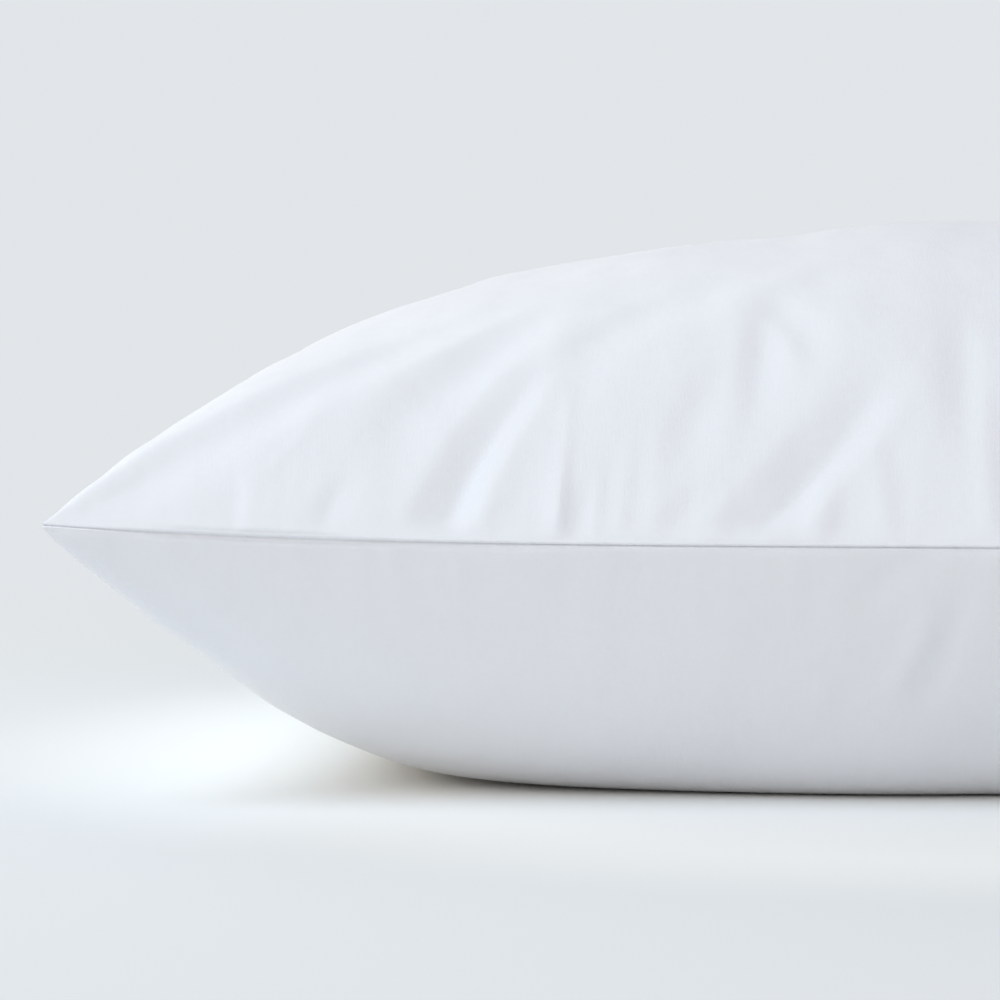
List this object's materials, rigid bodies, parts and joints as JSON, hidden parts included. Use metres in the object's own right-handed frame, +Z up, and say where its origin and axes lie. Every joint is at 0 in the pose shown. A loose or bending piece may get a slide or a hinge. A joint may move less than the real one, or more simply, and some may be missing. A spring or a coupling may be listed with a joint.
{
  "type": "filled pillowcase",
  "caption": "Plump white cotton pillowcase, filled and lying flat on its back face, with a knife-edge seam, pointed corners, drawn-in sides and a soft crown with short tension folds.",
  "frame": {"origin": "under the middle of the pillowcase, on the surface it rests on", "axes": "+X along the long sides towards the mouth, +Y across, away from the picture's camera, +Z up"},
  "size_m": [0.7102, 0.4662, 0.1925],
  "materials": {
    "white_cotton": "crisp plain-woven cotton, matte with a faint sheen"
  },
  "bodies": {
    "root": {"pillowcase": "white_cotton"}
  },
  "joints": []
}
